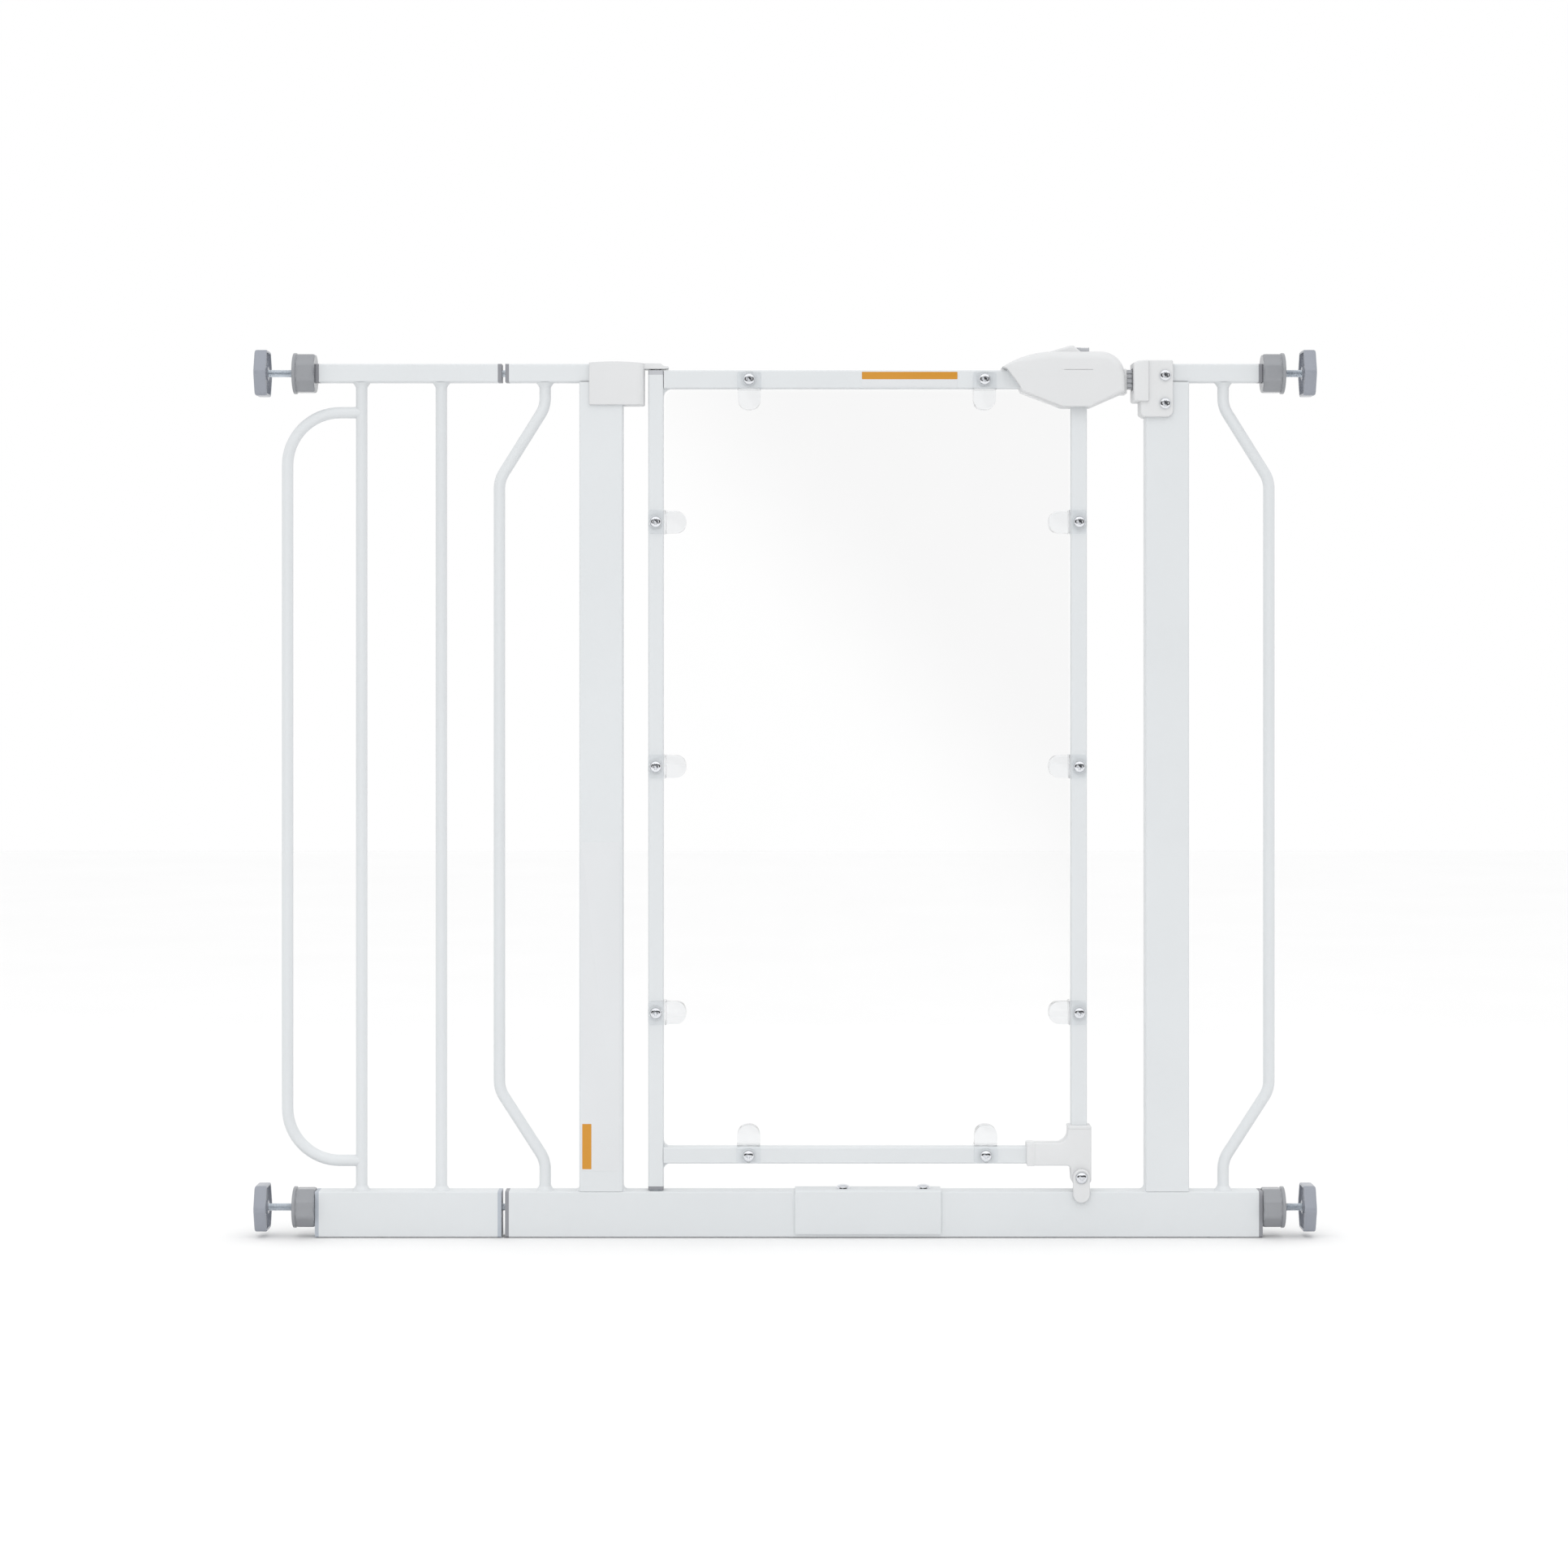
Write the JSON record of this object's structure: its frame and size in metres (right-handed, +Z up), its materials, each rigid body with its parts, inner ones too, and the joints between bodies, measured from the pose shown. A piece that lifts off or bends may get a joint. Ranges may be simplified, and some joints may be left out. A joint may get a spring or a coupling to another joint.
{
  "type": "pet gate",
  "caption": "Walk-through pressure-fitted gate with a clear hinged door, a slide latch, a side extension and screw-out wall pads.",
  "frame": {"origin": "middle of the gate on the floor, at the middle of its length and depth", "axes": "+X along the gate towards the latch side, +Y to the back (the front faces -Y), +Z up"},
  "size_m": [0.9248, 0.04, 0.778],
  "materials": {
    "powder_white": "white powder coat, satin",
    "moulded_white": "moulded, satin",
    "moulded_grey": "moulded, satin",
    "cap_grey": "moulded, matte",
    "zinc": "zinc plated",
    "chrome": "bright nickel plate",
    "clear_sheet": "clear acrylic, polished",
    "clear_clip": "clear moulding",
    "label_white": "blank film label",
    "label_orange": "blank film label"
  },
  "bodies": {
    "frame": {"hinge_post": "powder_white", "latch_post": "powder_white", "threshold_left": "powder_white", "threshold_right": "powder_white", "threshold_joiner": "powder_white", "joiner_bolts": "chrome", "top_rail_left": "powder_white", "top_rail_right": "powder_white", "curved_bar_left": "powder_white", "curved_bar_right": "powder_white", "hinge_bracket": "moulded_white", "hinge_bracket_screws": "chrome", "upper_hinge_pin": "zinc", "lower_hinge_pin": "zinc", "catch_front": "moulded_white", "catch_rear": "moulded_white", "catch_screws": "chrome", "frame_top_caps": "cap_grey", "frame_bottom_caps": "cap_grey", "post_sticker": "label_white"},
    "extension": {"ext_top_rail": "powder_white", "ext_bottom_rail": "powder_white", "ext_outer_bar": "powder_white", "ext_inner_bar": "powder_white", "ext_bow": "powder_white", "ext_top_caps": "cap_grey", "ext_bottom_caps": "cap_grey", "ext_pegs": "zinc"},
    "door": {"hinge_stile": "powder_white", "latch_stile": "powder_white", "door_top_rail": "powder_white", "door_bottom_rail": "powder_white", "upper_plug": "cap_grey", "lower_plug": "cap_grey", "corner_bracket": "moulded_white", "acrylic_panel": "clear_sheet", "clips_front": "clear_clip", "clips_rear": "clear_clip", "clip_screws": "chrome", "handle_front": "moulded_white", "handle_rear": "moulded_white", "handle_screws": "chrome", "door_sticker": "label_orange", "latch_spring": "zinc", "stop_tab_screw": "chrome"},
    "latch": {"latch_bolt": "cap_grey", "latch_button": "moulded_grey"},
    "stop": {"stop_tab": "moulded_white"},
    "top_left_spindle": {"top_left_rod": "zinc", "top_left_pad": "moulded_grey"},
    "top_left_wheel": {"top_left_nut": "moulded_grey"},
    "bottom_left_spindle": {"bottom_left_rod": "zinc", "bottom_left_pad": "moulded_grey"},
    "bottom_left_wheel": {"bottom_left_nut": "moulded_grey"},
    "top_right_spindle": {"top_right_rod": "zinc", "top_right_pad": "moulded_grey"},
    "top_right_wheel": {"top_right_nut": "moulded_grey"},
    "bottom_right_spindle": {"bottom_right_rod": "zinc", "bottom_right_pad": "moulded_grey"},
    "bottom_right_wheel": {"bottom_right_nut": "moulded_grey"}
  },
  "joints": [
    {"name": "door_swing", "type": "hinge", "parent": "frame", "child": "door", "pos_m": [-0.113, 0, 0.4], "axis": [0, 0, -1], "range_deg": [0, 90]},
    {"name": "latch_slide", "type": "slide", "parent": "door", "child": "latch", "axis": [1, 0, 0], "range_m": [-0.005, 0.0065], "stiffness_N_per_m": 250, "deforming": ["latch_spring"]},
    {"name": "stop_tab_turn", "type": "hinge", "parent": "door", "child": "stop", "pos_m": [0.258, -0.012, 0.0526], "axis": [0, 1, 0], "range_deg": [0, 180]},
    {"name": "extension_slide", "type": "slide", "parent": "frame", "child": "extension", "axis": [-1, 0, 0], "range_m": [0, 0.035]},
    {"name": "top_left_wheel_turn", "type": "hinge", "parent": "extension", "child": "top_left_wheel", "pos_m": [-0.42, 0, 0.754], "axis": [1, 0, 0], "range_deg": [-5400, 9000]},
    {"name": "top_left_spindle_slide", "type": "slide", "parent": "extension", "child": "top_left_spindle", "axis": [-1, 0, 0], "range_m": [-0.015, 0.025]},
    {"name": "bottom_left_wheel_turn", "type": "hinge", "parent": "extension", "child": "bottom_left_wheel", "pos_m": [-0.42, 0, 0.025], "axis": [1, 0, 0], "range_deg": [-5400, 9000]},
    {"name": "bottom_left_spindle_slide", "type": "slide", "parent": "extension", "child": "bottom_left_spindle", "axis": [-1, 0, 0], "range_m": [-0.015, 0.025]},
    {"name": "top_right_wheel_turn", "type": "hinge", "parent": "frame", "child": "top_right_wheel", "pos_m": [0.426, 0, 0.754], "axis": [-1, 0, 0], "range_deg": [-5400, 9000]},
    {"name": "top_right_spindle_slide", "type": "slide", "parent": "frame", "child": "top_right_spindle", "axis": [1, 0, 0], "range_m": [-0.015, 0.025]},
    {"name": "bottom_right_wheel_turn", "type": "hinge", "parent": "frame", "child": "bottom_right_wheel", "pos_m": [0.426, 0, 0.025], "axis": [-1, 0, 0], "range_deg": [-5400, 9000]},
    {"name": "bottom_right_spindle_slide", "type": "slide", "parent": "frame", "child": "bottom_right_spindle", "axis": [1, 0, 0], "range_m": [-0.015, 0.025]}
  ],
  "couplings": [
    {"joint": "top_left_spindle_slide", "follows": "top_left_wheel_turn", "m_per_rad": 0.00015915},
    {"joint": "bottom_left_spindle_slide", "follows": "bottom_left_wheel_turn", "m_per_rad": 0.00015915},
    {"joint": "top_right_spindle_slide", "follows": "top_right_wheel_turn", "m_per_rad": 0.00015915},
    {"joint": "bottom_right_spindle_slide", "follows": "bottom_right_wheel_turn", "m_per_rad": 0.00015915}
  ]
}
